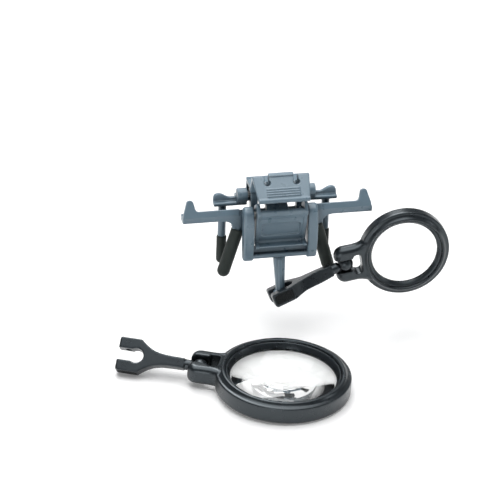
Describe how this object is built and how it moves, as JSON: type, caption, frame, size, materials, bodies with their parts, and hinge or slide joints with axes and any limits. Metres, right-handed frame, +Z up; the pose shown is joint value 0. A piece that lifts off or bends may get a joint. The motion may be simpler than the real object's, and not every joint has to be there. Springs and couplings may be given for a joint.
{
  "type": "clip-on eyeglass loupe",
  "caption": "Spring clip for the rims of spectacles with a flip-up yoke and a ball-jointed magnifier on a swivel arm, and a larger exchange magnifier on its own fork arm",
  "frame": {"origin": "the middle of the rim seat on the underside of the front bar, where the clip sits on the spectacles", "axes": "+X to the side where the small loupe hangs, +Y towards the wearer, +Z up"},
  "size_m": [0.0984, 0.0624, 0.0492],
  "materials": {
    "grey_plastic": "satin moulded blue-grey plastic",
    "black_plastic": "satin moulded black plastic",
    "sleeve_rubber": "matte soft rubber",
    "steel": "plain drawn steel",
    "clear_lens": "clear polished lens"
  },
  "bodies": {
    "front_frame": {"front_bar": "grey_plastic", "cover_plate": "grey_plastic", "left_front_sleeve": "sleeve_rubber", "right_front_sleeve": "sleeve_rubber", "clamp_pin": "steel", "clamp_spring": "steel", "flip_pins": "steel"},
    "rear_clamp": {"rear_bar": "grey_plastic", "squeeze_lever": "grey_plastic", "left_rear_sleeve": "sleeve_rubber", "right_rear_sleeve": "sleeve_rubber"},
    "flip_carriage": {"flip_yoke": "grey_plastic", "stalk": "grey_plastic"},
    "swivel_arm": {"loupe_arm": "black_plastic"},
    "pivot_ball": {"loupe_ball": "black_plastic"},
    "loupe_head": {"loupe_frame": "black_plastic", "loupe_lens": "clear_lens", "loupe_retainer": "black_plastic"},
    "spare_fork": {"spare_arm": "black_plastic"},
    "spare_pivot": {"spare_ball": "black_plastic"},
    "spare_head": {"spare_frame": "black_plastic", "spare_lens": "clear_lens", "spare_retainer": "black_plastic"}
  },
  "joints": [
    {"name": "clamp_squeeze", "type": "hinge", "parent": "front_frame", "child": "rear_clamp", "pos_m": [0, 0.0014, 0.0062], "axis": [1, 0, 0], "range_deg": [-3, 20], "stiffness_Nm_per_rad": 0.03, "deforming": ["clamp_spring"]},
    {"name": "flip_up", "type": "hinge", "parent": "front_frame", "child": "flip_carriage", "pos_m": [0, -0.005, 0.003], "axis": [-1, 0, 0], "range_deg": [0, 100]},
    {"name": "arm_swivel", "type": "hinge", "parent": "flip_carriage", "child": "swivel_arm", "pos_m": [0, -0.00882, -0.02107], "axis": [0, 0.9532, -0.3024], "range_deg": [-5, 175]},
    {"name": "loupe_twist", "type": "hinge", "parent": "swivel_arm", "child": "pivot_ball", "pos_m": [0.01898, -0.00656, -0.01394], "axis": [0.9304, 0.1108, 0.3493], "range_deg": [-40, 45]},
    {"name": "loupe_swing", "type": "hinge", "parent": "pivot_ball", "child": "loupe_head", "pos_m": [0.01898, -0.00656, -0.01394], "axis": [-0.1564, 0, 0.9877], "range_deg": [-90, 75]},
    {"name": "spare_lift", "type": "slide", "parent": "front_frame", "child": "spare_fork", "axis": [0, 0, 1], "range_m": [0, 0.01]},
    {"name": "spare_twist", "type": "hinge", "parent": "spare_fork", "child": "spare_pivot", "pos_m": [-0.0266, -0.0298, -0.02983], "axis": [-0.9202, 0.3906, 0.0259], "range_deg": [-90, 90]},
    {"name": "spare_swing", "type": "hinge", "parent": "spare_pivot", "child": "spare_head", "pos_m": [-0.0266, -0.0298, -0.02983], "axis": [0.3762, 0.9265, 0], "range_deg": [-90, 90]}
  ]
}
